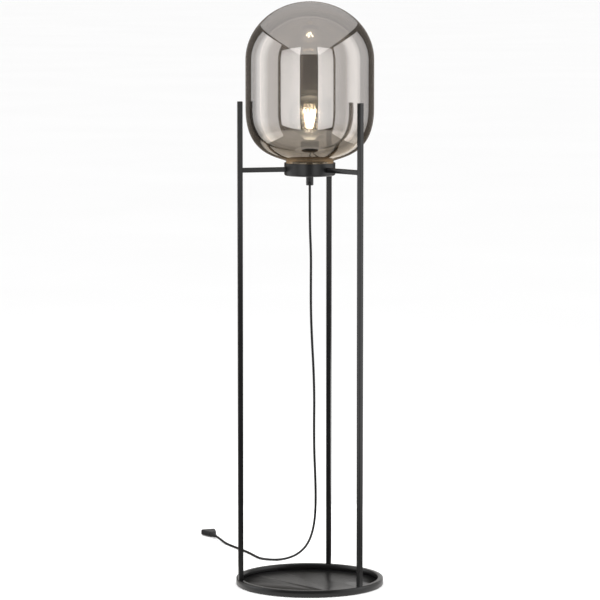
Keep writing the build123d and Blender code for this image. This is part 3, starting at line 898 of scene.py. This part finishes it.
def studio_world(strength):
    """Even white light for the scene, and for mirrors a dim room with a pale floor."""
    near_floor, far_floor = (0.62, 0.60, 0.57), (0.50, 0.48, 0.45)
    wall, ceiling = (0.055, 0.050, 0.045), (0.12, 0.11, 0.10)
    floor_end, wall_start, wall_end = 0.24, 0.27, 0.70
    back_start, back_full, back_gain = 0.2, 0.9, 3.2
    world = bpy.data.worlds.new("studio")
    bpy.context.scene.world = world
    world.use_nodes = True
    nodes = Nodes(world.node_tree)
    even = nodes.tree.nodes["Background"]
    even.inputs["Color"].default_value = (1, 1, 1, 1)
    even.inputs["Strength"].default_value = strength
    place = nodes.node("ShaderNodeTexCoord")
    split = nodes.node("ShaderNodeSeparateXYZ")
    nodes.link(place.outputs["Generated"], split.inputs["Vector"])
    level = nodes.mapped(split.outputs["Z"], start=-1)
    stops = (
        (0.0, near_floor), (floor_end, far_floor), (wall_start, wall), (wall_end, wall),
        (1.0, ceiling),
    )
    room = nodes.node("ShaderNodeBackground")
    nodes.link(nodes.ramp(level, stops), room.inputs["Color"])
    behind = nodes.mapped(split.outputs["Y"], back_start, back_full, low=1.0, high=back_gain)
    nodes.link(behind, room.inputs["Strength"])
    path = nodes.node("ShaderNodeLightPath")
    both = nodes.mix(even.outputs["Background"], room.outputs["Background"])
    nodes.link(path.outputs["Is Glossy Ray"], both.inputs["Fac"])
    nodes.link(both.outputs["Shader"], nodes.tree.nodes["World Output"].inputs["Surface"])
    world.cycles.sampling_method = "NONE"


class LAMP_OT_studio(bpy.types.Operator):
    """Lay the pale floor, hang the soft light panels and set the camera"""

    bl_idname = "lamp.build_studio"
    bl_label = "Studio"

    floor_reach = 120.0
    reflector_radius = 0.3
    reflector_glow = 0.9
    side_offset = 1.07
    side_height = 0.94
    front_offset = -0.72
    front_height = 1.08
    camera_place = (-0.0208, -7.14, 1.415)
    camera_pitch = 6.397
    camera_lens = 202.04
    camera_sensor = 36.0
    camera_reach = 400

    def staged(self, name, bm, finish):
        """Makes a piece of the studio, which isn't part of the lamp."""
        mesh = bpy.data.meshes.new(name)
        bm.to_mesh(mesh)
        bm.free()
        mesh.materials.append(finish.material)
        made = bpy.data.objects.new(name, mesh)
        bpy.context.scene.collection.objects.link(made)
        return made

    def floor(self, style):
        """A wide pale floor under the lamp."""
        bm = bmesh.new()
        bmesh.ops.create_grid(bm, x_segments=8, y_segments=8, size=self.floor_reach)
        finish = Finish("floor_paper")
        clouds = finish.noise(scale=0.8, detail=2)
        finish.tones(clouds, (0.3, shade(style.floor_colour, 0.985)), (0.7, style.floor_colour))
        finish.set(Roughness=0.9, Specular_IOR_Level=0.1)
        floor = self.staged("studio_floor", bm, finish)
        floor.visible_glossy = False

    def base_reflector(self):
        """The pale floor close round the base, which only its gloss mirrors."""
        bm = bmesh.new()
        bmesh.ops.create_circle(bm, cap_ends=True, segments=64, radius=self.reflector_radius)
        finish = Finish("reflector")
        finish.set(Base_Color=(0, 0, 0, 1), Emission_Color=(1, 0.98, 0.96, 1))
        finish.set(Specular_IOR_Level=0, Emission_Strength=self.reflector_glow)
        card = self.staged("base_reflector", bm, finish)
        card.visible_camera = False
        card.visible_diffuse = False
        card.visible_transmission = False
        card.visible_shadow = False

    def panels(self, style):
        """Side panels, front panels with a gap for the camera, and panels behind and above."""
        near, high = self.front_offset, self.front_height
        reach, middle = self.side_offset, self.side_height
        left_hot = (
            (0.0, 0.5), (0.2, 0.45), (0.4, 0.83), (0.5, 0.83), (0.75, 0.46), (1.0, 0.44),
        )
        right_hot = (
            (0.0, 0.5), (0.28, 0.42), (0.46, 0.8), (0.54, 0.84), (0.72, 0.48), (1.0, 0.42),
        )
        fade = ((0.0, 0.95), (0.35, 1.0), (0.65, 0.85), (1.0, 0.66))
        softbox(
            "side_panel_left", place=(-reach, 0.015, middle), aim=(0, 0.015, middle),
            size=(1.47, 1.86), brightness=style.side_light, across=left_hot,
        )
        softbox(
            "side_panel_right", place=(reach, -0.175, middle), aim=(0, -0.175, middle),
            size=(1.83, 1.86), brightness=style.side_light, across=right_hot,
        )
        softbox(
            "front_panel_left", place=(-0.54, near, high), aim=(-0.54, 0, high),
            size=(0.66, 0.88), brightness=style.front_light,
            across=((0.0, 0.82), (0.6, 0.88), (1.0, 1.0)), upwards=fade,
        )
        softbox(
            "front_panel_right", place=(0.38, near, high), aim=(0.38, 0, high),
            size=(0.42, 0.88), brightness=style.front_light,
            across=((0.0, 1.0), (0.4, 0.88), (1.0, 0.8)), upwards=fade,
        )
        softbox(
            "back_panel", place=(0.30, 1.0, 0.18), aim=(0.30, 0, 0.18), size=(1.6, 0.34),
            brightness=style.back_light,
            across=((0.0, 1.0), (0.45, 0.75), (0.75, 0.35), (1.0, 0.2)),
        )
        softbox(
            "top_panel", place=(-0.04, -0.3, 1.9), aim=(-0.04, -0.3, 0), size=(1.98, 5.2),
            brightness=style.top_light,
        )

    def camera(self, context):
        """The camera where the photograph was taken from."""
        data = bpy.data.cameras.new("camera")
        data.lens = self.camera_lens
        data.sensor_width = self.camera_sensor
        data.clip_end = self.camera_reach
        camera = bpy.data.objects.new("camera", data)
        camera.location = self.camera_place
        camera.rotation_euler = (math.radians(90 - self.camera_pitch), 0, 0)
        context.scene.collection.objects.link(camera)
        context.scene.camera = camera

    def execute(self, context):
        style = context.scene.lamp_studio
        context.scene.view_settings.view_transform = "Standard"
        self.floor(style)
        self.base_reflector()
        self.panels(style)
        studio_world(style.sky)
        self.camera(context)
        return {"FINISHED"}


class LAMP_PT_builder(bpy.types.Panel):
    """Lists the lamp's pieces and settings"""

    bl_label = "Globe floor lamp"
    bl_space_type = "VIEW_3D"
    bl_region_type = "UI"
    bl_category = "Lamp"

    def draw(self, context):
        for operator in OPERATORS:
            self.layout.operator(operator.bl_idname)
        for name, group in SETTINGS.items():
            box = self.layout.box()
            box.label(text=group.__doc__)
            for key in group.__annotations__:
                box.prop(getattr(context.scene, name), key)


OPERATORS = (
    LAMP_OT_studio,
    LAMP_OT_cord,
    LAMP_OT_frame,
    LAMP_OT_base,
    LAMP_OT_globe,
    LAMP_OT_holder,
    LAMP_OT_bulb,
)
CLASSES = (*SETTINGS.values(), *OPERATORS, LAMP_PT_builder)


def register():
    """Adds the lamp's classes and settings to Blender."""
    for made in CLASSES:
        bpy.utils.register_class(made)
    for name, group in SETTINGS.items():
        setattr(bpy.types.Scene, name, PointerProperty(type=group))


def unregister():
    """Takes them out again."""
    for name in SETTINGS:
        delattr(bpy.types.Scene, name)
    for made in reversed(CLASSES):
        bpy.utils.unregister_class(made)


def main():
    """Builds the whole lamp."""
    register()
    for operator in OPERATORS:
        group, name = operator.bl_idname.split(".")
        getattr(getattr(bpy.ops, group), name)()


if __name__ == "__main__":
    main()
